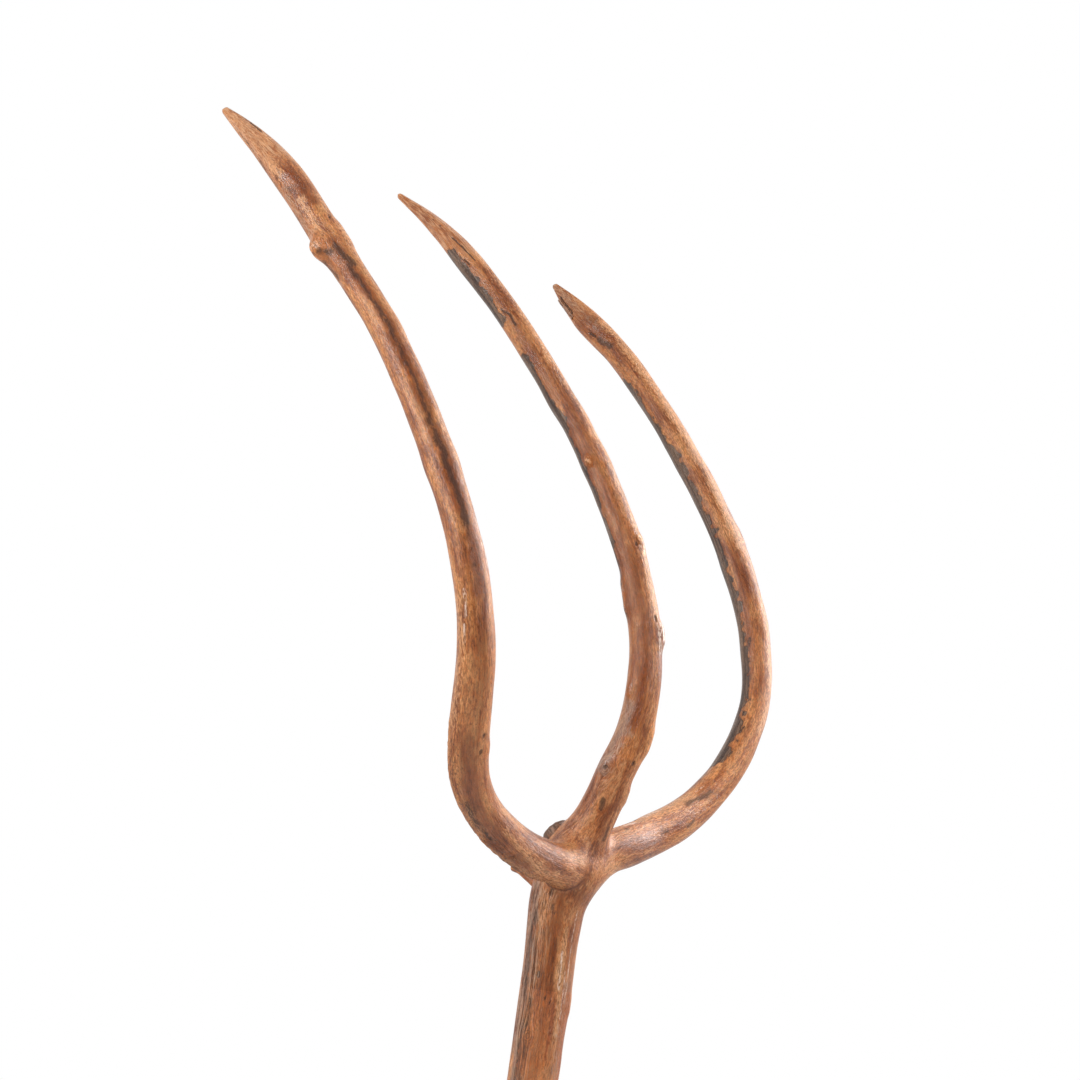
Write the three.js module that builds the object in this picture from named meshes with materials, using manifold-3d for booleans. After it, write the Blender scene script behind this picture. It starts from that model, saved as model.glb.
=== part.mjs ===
// A three-tined wooden hay fork, grown in one piece from a single forked sapling.
// Millimetres, +Z up the handle. The origin is the centre of the sawn butt at the foot of the handle.
// The tines fan out along X and sweep forward along +Y.

import * as THREE from 'three';
import { mergeVertices } from 'three/addons/utils/BufferGeometryUtils.js';
import Module from 'manifold-3d';

const wasm = await Module();
wasm.setup();

// ---------------------------------------------------------------- driving dimensions

const crotchHeight = 1230; // butt to the point where the tines' centre lines meet
const nodeGap = 0.3; // clearance left where one named region of the wood meets the next
const handleCut = 74; // the handle ends this far below the crotch centre
const tineCut = 78; // each tine begins this far along its own centre line
const buttChamfer = 2;
const sides = 14; // facets round every limb
const tineStep = 14; // distance between rings along a tine
const handleStep = 45;
const smallSides = 8; // facets and ring spacing of the smallest pieces
const smallStep = 5;

// A centre line is a list of stations: [across, forward, rise above the crotch, radius].
const handleLine = [
  [0, 0, -1230, 18.6],
  [0, 0, -1170, 18.4],
  [6, -5, -950, 17.8],
  [2, 5, -640, 17.4],
  [-5, 2, -360, 16.6],
  [0, -2, -150, 15.8],
  [-1, 1, -76, 16.2],
  [-1, 4, -36, 18],
  [0, 5, -8, 20.4],
  [0, 3, 12, 18],
];
const leftLine = [
  [0, 0, 0, 14],
  [-73, -1, 14, 11.8],
  [-129, -3, 48, 11.4],
  [-170, -18, 126, 10.5],
  [-182, -9, 170, 9.6],
  [-184, 32, 235, 9.4],
  [-187, 80, 293, 9.2],
  [-187, 130, 338, 9.8],
  [-188, 189, 391, 10.2],
  [-189, 248, 427, 10.2],
];
const middleLine = [
  [0, 0, 0, 18.5],
  [1, -10, 39, 13],
  [3, -24, 122, 10.8],
  [2, -6, 183, 9.8],
  [2, 23, 230, 9.3],
  [2, 60, 276, 9],
  [1, 104, 321, 9],
  [2, 148, 361, 9],
  [-2, 205, 407, 9],
  [-4, 253, 435, 9],
];
const rightLine = [
  [0, 0, 2, 17],
  [61, -7, 20, 13.3],
  [123, -16, 53, 11.8],
  [166, -18, 111, 10.8],
  [181, -2, 169, 10.6],
  [183, 35, 234, 10.3],
  [184, 77, 287, 10.1],
  [185, 128, 340, 9.7],
  [188, 170, 375, 9.9],
  [186, 240, 425, 10],
];

// The swelling under each side tine, where its grain turns out of the handle.
const leftCollar = [
  [-1, 3, -62, 11],
  [-7, 2, -34, 12.5],
  [-26, 0, -5, 12.5],
  [-60, -1, 10, 11.5],
];
const rightCollar = [
  [1, 1, -70, 11],
  [4, 1, -40, 11.5],
  [19, -2, -7, 11.5],
  [52, -6, 15, 11.8],
];

// Leftovers of the growing tree: a branch pruned behind the crotch and a twig below it.
const stumpLine = [
  [0, 1, 2, 11],
  [0, 12, 12, 10],
  [0, 21, 20, 9.4],
];
const twigLine = [
  [-2, 20, -21, 3.6],
  [-2, 30, -16, 2.6],
  [-1, 43, -9, 2.1],
];

// The whittled points: how far back each taper reaches, and its blunt end.
const pointTaper = 0.65; // exponent of the taper
const pointRadius = 2.2;
const pointThickness = 0.62; // thickness over width at the very end
const leftPoint = 80;
const middlePoint = 98;
const rightPoint = 62;

// The sliver split off the inside of the right tine's point.
const splinterStart = 30; // distance back from the tip to its root
const splinterEnd = 15; // and to its free end
const splinterRadius = 1.5;
const splinterDepth = 1.2; // how far its centre lies inside the tine's surface
const splitWidth = 0.5; // the crack round it

// ---------------------------------------------------------------- limbs

// One limb of wood: a smooth centre line through its stations, with a girth at every point.
function makeLimb(stations, pointLength = 0) {
  const line = new THREE.CatmullRomCurve3(
    stations.map(([x, y, rise]) => new THREE.Vector3(x, y, crotchHeight + rise)),
  );
  line.arcLengthDivisions = 400;
  const length = line.getLength();

  function radiusAt(distance) {
    const place = line.getUtoTmapping(distance / length) * (stations.length - 1);
    const index = Math.min(Math.floor(place), stations.length - 2);
    const grown = THREE.MathUtils.lerp(stations[index][3], stations[index + 1][3], place - index);
    if (distance <= length - pointLength) return grown;
    const back = Math.max(0, (length - distance) / pointLength);
    return THREE.MathUtils.lerp(pointRadius, grown, back ** pointTaper);
  }

  // Thickness over width: 1 on round wood, less where the point is planed flat.
  function flatnessAt(distance) {
    if (distance <= length - pointLength) return 1;
    return THREE.MathUtils.lerp(pointThickness, 1, (length - distance) / pointLength);
  }

  return { line, length, radiusAt, flatnessAt };
}

// The rings of a stretch of limb, each with its place and two directions across the grain.
// The frame is carried back from the far end, where its first direction lies along X.
function makeRings(limb, from, to, step) {
  const count = Math.max(1, Math.round((to - from) / step));
  const rings = [];
  let side = new THREE.Vector3(1, 0, 0);
  for (let i = count; i >= 0; i -= 1) {
    const distance = THREE.MathUtils.lerp(from, to, i / count);
    const u = distance / limb.length;
    const tangent = limb.line.getTangentAt(u);
    side = side.clone().addScaledVector(tangent, -side.dot(tangent)).normalize();
    rings.unshift({
      distance,
      centre: limb.line.getPointAt(u),
      side,
      other: new THREE.Vector3().crossVectors(side, tangent),
      radius: limb.radiusAt(distance),
      flatness: limb.flatnessAt(distance),
    });
  }
  return rings;
}

// Turns a straight profile on the lathe, then bends it along the rings.
function bendLathe(rings, facets) {
  const stations = [rings[0], ...rings, rings[rings.length - 1]];
  const profile = stations.map(
    (ring, i) => new THREE.Vector2(i === 0 || i === stations.length - 1 ? 0 : ring.radius, ring.distance),
  );
  const geometry = new THREE.LatheGeometry(profile, facets);
  const position = geometry.getAttribute('position');
  const point = new THREE.Vector3();
  for (let i = 0; i < position.count; i += 1) {
    const ring = stations[i % stations.length];
    point.copy(ring.centre);
    point.addScaledVector(ring.side, position.getX(i) * ring.flatness);
    point.addScaledVector(ring.other, position.getZ(i));
    position.setXYZ(i, point.x, point.y, point.z);
  }
  return geometry;
}

function makeStretch(limb, from, to, step = tineStep, facets = sides) {
  return bendLathe(makeRings(limb, from, to, step), facets);
}

// ---------------------------------------------------------------- solids

function toSolid(geometry) {
  const bare = geometry.clone();
  bare.deleteAttribute('normal');
  bare.deleteAttribute('uv');
  const merged = mergeVertices(bare, 1e-3);
  const vertProperties = new Float32Array(merged.getAttribute('position').array);
  const triVerts = new Uint32Array(merged.index.array);
  return new wasm.Manifold(new wasm.Mesh({ numProp: 3, vertProperties, triVerts }));
}

function toGeometry(solid) {
  const mesh = solid.getMesh();
  const geometry = new THREE.BufferGeometry();
  geometry.setAttribute('position', new THREE.BufferAttribute(mesh.vertProperties, 3));
  geometry.setIndex(new THREE.BufferAttribute(mesh.triVerts, 1));
  geometry.computeVertexNormals();
  return geometry;
}

// ---------------------------------------------------------------- the regions of the fork

const handle = makeLimb(handleLine);
const leftTine = makeLimb(leftLine, leftPoint);
const middleTine = makeLimb(middleLine, middlePoint);
const rightTine = makeLimb(rightLine, rightPoint);
const leftSwelling = makeLimb(leftCollar);
const rightSwelling = makeLimb(rightCollar);
const stump = makeLimb(stumpLine);
const twig = makeLimb(twigLine);

// The handle, sawn square at the butt with its edge eased.
function makeHandle() {
  const top = crotchHeight - handleCut;
  const rings = makeRings(handle, buttChamfer, top - nodeGap, handleStep);
  const butt = { ...rings[0], distance: 0, radius: rings[0].radius - buttChamfer };
  butt.centre = new THREE.Vector3(0, 0, 0);
  return bendLathe([butt, ...rings], sides);
}

// The crotch, where the handle swells and every limb takes root.
function makeCrotch() {
  const roots = [
    makeStretch(handle, crotchHeight - handleCut, handle.length),
    makeStretch(leftTine, 0, tineCut - nodeGap),
    makeStretch(middleTine, 0, tineCut - nodeGap),
    makeStretch(rightTine, 0, tineCut - nodeGap),
    makeStretch(leftSwelling, 0, leftSwelling.length),
    makeStretch(rightSwelling, 0, rightSwelling.length),
  ];
  return roots.map(toSolid).reduce((whole, root) => whole.add(root));
}

// A small limb that stands on the crotch: what is left of it outside the crotch, a gap away.
function seatOnCrotch(limb, facets) {
  const outward = limb.line.getTangent(1).multiplyScalar(nodeGap);
  const bed = crotch.translate([outward.x, outward.y, outward.z]);
  const whole = toSolid(makeStretch(limb, 0, limb.length, smallStep, facets));
  return toGeometry(whole.subtract(bed));
}

// The centre line of the sliver follows the tine's surface on the inside of its curve.
function makeSplinter(radius, from, to) {
  const rings = makeRings(rightTine, from, to, smallStep).map((ring) => ({
    ...ring,
    centre: ring.centre.clone().addScaledVector(ring.other, ring.radius - splinterDepth),
    radius,
    flatness: 1.4,
  }));
  return bendLathe(rings, smallSides);
}

function makeRightTine() {
  const whole = toSolid(makeStretch(rightTine, tineCut, rightTine.length));
  const crack = makeSplinter(
    splinterRadius + splitWidth,
    rightTine.length - splinterStart - splitWidth,
    rightTine.length - splinterEnd + splinterEnd / 3,
  );
  return toGeometry(whole.subtract(toSolid(crack)));
}

const crotch = makeCrotch();
const splinter = makeSplinter(
  splinterRadius,
  rightTine.length - splinterStart,
  rightTine.length - splinterEnd,
);

// ---------------------------------------------------------------- the fork

const fork = new THREE.Group();

function addWood(name, geometry, color, roughness) {
  const material = new THREE.MeshStandardMaterial({ color, roughness, metalness: 0 });
  const mesh = new THREE.Mesh(geometry, material);
  mesh.name = name;
  fork.add(mesh);
}

addWood('handle', makeHandle(), '#a3654a', 0.42);
addWood('crotch', toGeometry(crotch), '#a26b4d', 0.5);
addWood('left_tine', makeStretch(leftTine, tineCut, leftTine.length), '#b2764f', 0.42);
addWood('middle_tine', makeStretch(middleTine, tineCut, middleTine.length), '#ad6f4a', 0.42);
addWood('right_tine', makeRightTine(), '#b67a54', 0.42);
addWood('branch_stump', seatOnCrotch(stump, sides), '#8d7466', 0.7);
addWood('twig_stub', seatOnCrotch(twig, smallSides), '#9a6548', 0.6);
addWood('tip_splinter', splinter, '#966c53', 0.7);

export default fork;
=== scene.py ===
"""A three-tined wooden hay fork, grown in one piece from a forked sapling, peeled, bent and polished by use.

Lengths are in millimetres until a mesh, a light or the camera is made. A place on a limb is given by the
distance along it and an angle round it: 0 is the limb's right edge as the camera sees it, 90 faces the
camera, 180 is its left edge and 270 its far side.
"""

import math

import bmesh
import bpy
import numpy as np
from mathutils import Matrix, Vector


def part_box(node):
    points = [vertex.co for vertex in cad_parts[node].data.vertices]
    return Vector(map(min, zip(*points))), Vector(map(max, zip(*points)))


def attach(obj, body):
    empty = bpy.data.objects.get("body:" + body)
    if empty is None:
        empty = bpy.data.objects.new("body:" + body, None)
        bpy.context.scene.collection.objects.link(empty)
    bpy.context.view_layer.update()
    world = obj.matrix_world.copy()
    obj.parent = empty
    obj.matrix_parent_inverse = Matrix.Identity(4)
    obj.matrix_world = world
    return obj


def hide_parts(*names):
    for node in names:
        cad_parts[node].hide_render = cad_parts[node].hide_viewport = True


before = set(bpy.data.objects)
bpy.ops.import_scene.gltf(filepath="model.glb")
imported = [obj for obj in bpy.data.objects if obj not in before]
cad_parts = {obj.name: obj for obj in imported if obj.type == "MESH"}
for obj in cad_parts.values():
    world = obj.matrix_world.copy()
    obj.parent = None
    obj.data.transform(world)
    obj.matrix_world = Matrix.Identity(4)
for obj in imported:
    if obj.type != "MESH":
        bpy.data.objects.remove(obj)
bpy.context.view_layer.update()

MM = 0.001

# ---------------------------------------------------------------- the camera

CROTCH_ABOVE_HANDLE = 74.02  # from the handle's top to the point where the tines' centre lines meet
CROTCH = np.array([0.0, 0.0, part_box("handle")[1].z / MM + CROTCH_ABOVE_HANDLE])

CAMERA_RIGHT = np.array([0.54986, -0.81209, 0.19534])
CAMERA_UP = np.array([-0.17541, 0.11638, 0.97759])
CAMERA_BACK = np.array([-0.81663, -0.57181, -0.07846])
CAMERA_FROM_CROTCH = np.array([-947.3, -590.3, 110.0])
CAMERA_LENS = 58.8


def make_camera():
    data = bpy.data.cameras.new("camera")
    data.lens = CAMERA_LENS
    data.sensor_width = 36.0
    data.clip_end = 50.0
    camera = bpy.data.objects.new("camera", data)
    bpy.context.scene.collection.objects.link(camera)
    turn = Matrix([CAMERA_RIGHT, CAMERA_UP, CAMERA_BACK]).transposed()
    camera.matrix_world = Matrix.Translation(Vector((CROTCH + CAMERA_FROM_CROTCH) * MM)) @ turn.to_4x4()
    bpy.context.scene.camera = camera


# ---------------------------------------------------------------- numbers that look like chance


def lattice(corner, seed):
    """A repeatable number from -1 to 1 for each corner of an endless grid."""
    x, y, z = np.moveaxis(corner, -1, 0)
    mixed = (x * 73856093) ^ (y * 19349663) ^ (z * 83492791) ^ (seed * 961748941)
    mixed = ((mixed ^ (mixed >> 13)) * 1274126177) & 0xFFFFFFFF
    mixed = (mixed ^ (mixed >> 16)) & 0xFFFFFF
    return mixed / 0x7FFFFF - 1.0


def noise(points, seed):
    """Smooth noise from -1 to 1, with bumps about one unit across."""
    base = np.floor(points).astype(np.int64)
    part = points - base
    ease = part**3 * (part * (part * 6 - 15) + 10)
    total = np.zeros(points.shape[:-1])
    for corner in np.ndindex(2, 2, 2):
        share = np.prod(np.where(corner, ease, 1 - ease), axis=-1)
        total += share * lattice(base + np.array(corner), seed)
    return total


def smoothstep(low, high, value):
    part = np.clip((value - low) / (high - low), 0, 1)
    return part * part * (3 - 2 * part)


# ---------------------------------------------------------------- reading the frame


def triangles_of(node):
    """The triangles of a CAD node, in millimetres."""
    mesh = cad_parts[node].data
    mesh.calc_loop_triangles()
    places = np.array([v.co for v in mesh.vertices]) / MM
    corners = np.array([t.vertices for t in mesh.loop_triangles])
    return places[corners]


TRACE_REACH = 60.0  # triangles nearer than this to a place count for the section there
TRACE_BAND = 25.0  # a trace starts from the triangles this close to the node's mid height
SMALLEST_SECTION = 1.0  # square millimetres
HANDLE_TRACE_STEP = 12.0
TINE_TRACE_STEP = 4.0


def section(triangles, point, normal):
    """The centre and area of the mesh's section by a plane, near a point."""
    near = triangles[np.linalg.norm(triangles.mean(axis=1) - point, axis=1) < TRACE_REACH]
    height = (near - point) @ normal
    crossed = (height.min(axis=1) < 0) & (height.max(axis=1) >= 0)
    near, height = near[crossed], height[crossed]
    if len(near) < 3:
        return None
    ends = {"in": np.zeros((len(near), 3)), "out": np.zeros((len(near), 3))}
    for i in range(3):
        j = (i + 1) % 3
        upward = (height[:, i] < 0) & (height[:, j] >= 0)
        downward = (height[:, i] >= 0) & (height[:, j] < 0)
        for name, hit in (("in", upward), ("out", downward)):
            share = height[hit, i] / (height[hit, i] - height[hit, j])
            ends[name][hit] = near[hit, i] + share[:, None] * (near[hit, j] - near[hit, i])
    start, end = ends["in"] - point, ends["out"] - point
    slices = np.cross(start, end) @ normal / 2
    area = slices.sum()
    if abs(area) < SMALLEST_SECTION:
        return None
    centre = point + ((start + end) / 3 * slices[:, None]).sum(axis=0) / area
    return centre, abs(area)


def centre_line(node, step):
    """Places along the middle of a limb-shaped CAD node, with its radius.

    They start at the end nearest the butt or the crotch.
    """
    triangles = triangles_of(node)
    corners = triangles.reshape(-1, 3)
    middle = (corners[:, 2].min() + corners[:, 2].max()) / 2
    band = np.abs(triangles.mean(axis=1)[:, 2] - middle) < TRACE_BAND
    seed = triangles[band].mean(axis=(0, 1))
    halves = []
    for sense in (1.0, -1.0):
        centre, along = seed, np.array([0.0, 0.0, sense])
        places = []
        while True:
            found = section(triangles, centre, along)
            if found is None:
                break
            places.append((*found[0], math.sqrt(found[1] / math.pi)))
            if len(places) > 1:
                along = np.subtract(places[-1][:3], places[-2][:3])
                along = along / np.linalg.norm(along)
            centre = found[0] + along * step
        last = np.array(places[-1])
        close = corners[np.linalg.norm(corners - last[:3], axis=1) < 2.5 * last[3] + step]
        end = ((close - last[:3]) @ along).max()
        places.append((*(last[:3] + along * end), last[3]))
        halves.append(places)
    return np.array(halves[1][:0:-1] + halves[0])


# ---------------------------------------------------------------- limbs


def through(knots, values, wanted):
    """A smooth curve through values at the knots, read at the wanted places."""
    slope = np.gradient(values, knots, axis=0)
    i = np.clip(np.searchsorted(knots, wanted) - 1, 0, len(knots) - 2)
    width = (knots[i + 1] - knots[i])[:, None]
    u = (wanted - knots[i])[:, None] / width
    return (
        values[i] * (2 * u**3 - 3 * u**2 + 1)
        + slope[i] * width * (u**3 - 2 * u**2 + u)
        + values[i + 1] * (3 * u**2 - 2 * u**3)
        + slope[i + 1] * width * (u**3 - u**2)
    )


def soften(values, spread):
    """A running average that keeps both ends where they are."""
    reach = int(spread * 3)
    window = np.exp(-0.5 * (np.arange(-reach, reach + 1) / spread) ** 2)
    window /= window.sum()
    before = 2 * values[0] - values[reach:0:-1]
    after = 2 * values[-1] - values[-2 : -reach - 2 : -1]
    padded = np.concatenate([before, values, after])
    columns = [np.convolve(column, window, "valid") for column in padded.T]
    return np.stack(columns, axis=1)


LEAN_EASE = 4.0  # how gently a lean comes and goes
KNOT_SPREAD = 1.8  # how far round a knot the fibres part, in widths of the knot
KNOT_PARTING = 0.6  # the most that they part
BATCH = 20000  # points located at a time, to save memory


class Limb:
    """One limb of wood: a centre line with a girth, and directions across it that face the camera.

    Distances along it in millimetres, s, are counted so that they reach start where the frame's node begins.
    """

    def __init__(self, name, root, line, start, seed, smooth=7.0):
        line = np.concatenate([root, line])
        gaps = np.linalg.norm(np.diff(line[:, :3], axis=0), axis=1)
        knots = np.concatenate([[0.0], np.cumsum(gaps)])
        knots += start - knots[len(root)]
        self.name = name
        self.seed = seed
        self.length = knots[-1]
        self.s = np.linspace(knots[0], knots[-1], int(knots[-1] - knots[0]) + 1)
        spine = soften(through(knots, line, self.s), smooth)
        self.centre, self.radius = spine[:, :3], spine[:, 3]
        along = np.gradient(self.centre, axis=0)
        self.along = along / np.linalg.norm(along, axis=1)[:, None]
        right = CAMERA_RIGHT - (self.along @ CAMERA_RIGHT)[:, None] * self.along
        self.right = right / np.linalg.norm(right, axis=1)[:, None]
        self.front = np.cross(self.right, self.along)
        self.relief = None

    def lean(self, rows):
        """Carries the centre line sideways and changes the girth, smoothly from row to row."""
        at, sideways, girth = np.array(rows, float).T
        shift = np.stack([np.interp(self.s, at, sideways), np.interp(self.s, at, girth)], axis=1)
        shift = soften(shift, LEAN_EASE)
        self.centre = self.centre + self.right * shift[:, :1]
        self.radius = self.radius + shift[:, 1]

    def read(self, field, s):
        values = getattr(self, field)
        if values.ndim == 1:
            return np.interp(s, self.s, values)
        return np.stack([np.interp(s, self.s, column) for column in values.T], axis=-1)

    def grain(self, s, angle):
        """Coordinates that follow the fibres, which part round each knot: two across and one along."""
        radius = self.read("radius", s)
        for mark in STROKES[self.name]:
            if mark[0] in ("rise", "eddy"):
                kind, start, turn, end, end_turn, width, amount = mark
                near = stroke(self, s, angle, (kind, start, turn, end, end_turn, KNOT_SPREAD * width, amount))
                aside = (angle - math.radians((turn + end_turn) / 2) + math.pi) % (2 * math.pi) - math.pi
                angle = angle - min(KNOT_PARTING, abs(amount) / 2) * near * aside
        return np.stack([radius * np.cos(angle), radius * np.sin(angle), s], axis=-1)

    def outer(self, s, angle):
        """How far the surface lies from the centre line."""
        plain = self.read("radius", s)
        return plain if self.relief is None else self.relief(self, s, angle, plain)

    def outward(self, s, angle):
        """The way out of the limb."""
        right, front = self.read("right", s), self.read("front", s)
        return np.cos(angle)[..., None] * right + np.sin(angle)[..., None] * front

    def surface(self, s, angle):
        return self.read("centre", s) + self.outward(s, angle) * self.outer(s, angle)[..., None]

    def locate(self, points, low, high):
        """For each point: its distance along the limb, its angle, its distance out, and the way out."""
        low, high = max(low, self.s[0]), min(high, self.length)
        window = np.flatnonzero((self.s >= low) & (self.s <= high))[::4]
        nearest = np.empty(len(points), int)
        for i in range(0, len(points), BATCH):
            part = points[i : i + BATCH]
            gap = ((part[:, None] - self.centre[window]) ** 2).sum(axis=2)
            nearest[i : i + BATCH] = window[gap.argmin(axis=1)]
        s = self.s[nearest]
        for _ in range(2):
            ahead = ((points - self.read("centre", s)) * self.read("along", s)).sum(axis=1)
            s = np.clip(s + ahead, low, high)
        offset = points - self.read("centre", s)
        right, front = self.read("right", s), self.read("front", s)
        angle = np.arctan2((offset * front).sum(axis=1), (offset * right).sum(axis=1))
        away = np.linalg.norm(offset, axis=1)
        return s, angle, away, offset / np.maximum(away, 1e-6)[:, None]


# Hidden stretches of the limbs inside the crotch: across, forward, rise above the crotch, radius.
TRUNK_ROOT = [(-1, 3, -40, 17.0), (0, 4, -14, 18.4), (0, 0, 14, 16.6), (1, -7, 36, 13.4), (1, -13, 58, 12.2)]
LEFT_ROOT = [(-19, -3.5, 1, 12.2), (-34, -3, 4, 12.4), (-52, -2, 7, 12.2)]
RIGHT_ROOT = [(4, -2, 1, 12.6), (22, -6, 10.5, 13.6), (46, -9, 17.5, 13.3)]
# The small branches, from their hidden roots outwards.
STUMP = [(3, 0, 0.5, 11), (3.5, 7, 8.5, 10.2), (4, 13, 14.5, 9.6), (3.5, 21, 21, 9.2)]
TWIG = [
    (-2.5, 16, -17, 4.6), (-2.5, 24, -14, 3.4), (-2.2, 32, -11.5, 2.6),
    (-1, 38.5, -9.8, 2.2), (-0.4, 42, -9.4, 2.7), (0, 44.6, -9.2, 2.5),
]

# Where the real wood leaves the frame's smooth lines: distance along, carried rightwards, added girth.
TRUNK_LEAN = [
    (1090, 0.2, 0.2), (1121, -0.4, 0), (1160, -0.2, 0), (1185, -0.7, -0.3), (1204, -1.4, -0.2),
    (1225, -0.8, 0), (1250, 0.8, -0.2), (1262, 2.2, -0.9), (1272, 2.4, -0.5), (1283, 2.6, -0.3),
    (1301, 1.2, 0.1), (1321, 2.2, 0), (1341, 0.9, 0), (1361, 0, 0.2), (1381, 0, -0.3), (1401, 0.1, 0),
    (1421, 0, -0.2), (1441, 0, 0.4), (1481, -0.2, 0.5), (1501, 0, 0), (1521, -0.1, 0.2),
    (1541, 0.3, 0.4), (1561, -0.7, 0.6), (1581, 0.1, 0.2), (1621, 0.3, 0.2), (1661, 0.6, 0),
    (1681, 0.4, 0), (1701, 0.3, 0.8), (1721, 0.4, 1.1), (1741, 0.4, 0.9), (1761, 0.7, 0.3),
    (1784, 0, 0.2),
]
LEFT_LEAN = [
    (60, 0.3, 0.2), (80, -0.3, 0), (120, -0.9, -0.4), (142, -0.9, 0.3), (165, -0.4, 0.7),
    (200, -0.5, 0.5), (240, -0.3, 0.2), (262, -0.1, 0.5), (300, -0.2, 0), (360, -0.5, 0.3),
    (400, -0.1, 0.2), (422, 0.5, 0.3), (445, 0.2, -0.2), (490, 0.2, 0.1), (540, -0.4, 0.1),
    (575, -1.0, 0.2), (600, -0.4, 0.5), (625, 0.4, 0.3),
]
RIGHT_LEAN = [
    (60, 0, 0), (80, -0.4, 0.7), (100, 0.4, 0.6), (120, -0.1, 0.3), (142, -0.2, 0), (160, 0.6, -0.2),
    (180, 0.2, 0.2), (200, -0.3, 0.1), (220, 0.3, 0), (240, 0.1, 0.2), (260, -0.6, 0.5),
    (280, 0.1, 0.5), (300, 0, 0.6), (340, 0.6, 0.6), (380, 0, 0.7), (400, 0.2, 0.8), (420, -0.5, 0.5),
    (460, 0, 0.4), (480, -0.4, 0.3), (500, -0.3, 0.5), (520, 0.4, 0.2), (540, 0.6, 0), (560, 0, 0.7),
    (580, -0.7, 1.8), (592, -0.2, 1.8), (604, 0.9, 1.7), (612, 1.1, 1.2), (624, 1.0, 0.2),
]


def stations(rows):
    """Rows of places beside the crotch as places in the frame, with their radius kept."""
    line = np.array(rows, float)
    line[:, :3] += CROTCH
    return line


def place_on(limb, point):
    """The distance along a limb of the place nearest to a point."""
    return limb.s[np.linalg.norm(limb.centre - point, axis=1).argmin()]


# How far along its limb each node of the frame begins.
LEFT_START = 73.0
RIGHT_START = 77.0
STUMP_START = 14.0
TWIG_START = 8.0
STUMP_SHOWN = 8.0  # length of the stump's own piece, outside the crotch

handle_line = centre_line("handle", HANDLE_TRACE_STEP)
middle_line = centre_line("middle_tine", TINE_TRACE_STEP)
left_line = centre_line("left_tine", TINE_TRACE_STEP)
right_line = centre_line("right_tine", TINE_TRACE_STEP)
trunk_line = np.concatenate([handle_line, stations(TRUNK_ROOT), middle_line])
trunk = Limb("trunk", handle_line[:0], trunk_line, 0, seed=11)
left = Limb("left", stations(LEFT_ROOT), left_line, LEFT_START, seed=23)
right = Limb("right", stations(RIGHT_ROOT), right_line, RIGHT_START, seed=37)
stump = Limb("stump", stations(STUMP[:2]), stations(STUMP[2:]), STUMP_START, seed=41, smooth=3.0)
twig = Limb("twig", stations(TWIG[:1]), stations(TWIG[1:]), TWIG_START, seed=43, smooth=2.0)

handle_top = place_on(trunk, handle_line[-1, :3])
middle_start = place_on(trunk, middle_line[0, :3])
left_start = place_on(left, left_line[0, :3])
right_start = place_on(right, right_line[0, :3])
stump_start = stump.length - STUMP_SHOWN

trunk.lean(TRUNK_LEAN)
left.lean(LEFT_LEAN)
right.lean(RIGHT_LEAN)


# ---------------------------------------------------------------- the shape of the surface

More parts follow.
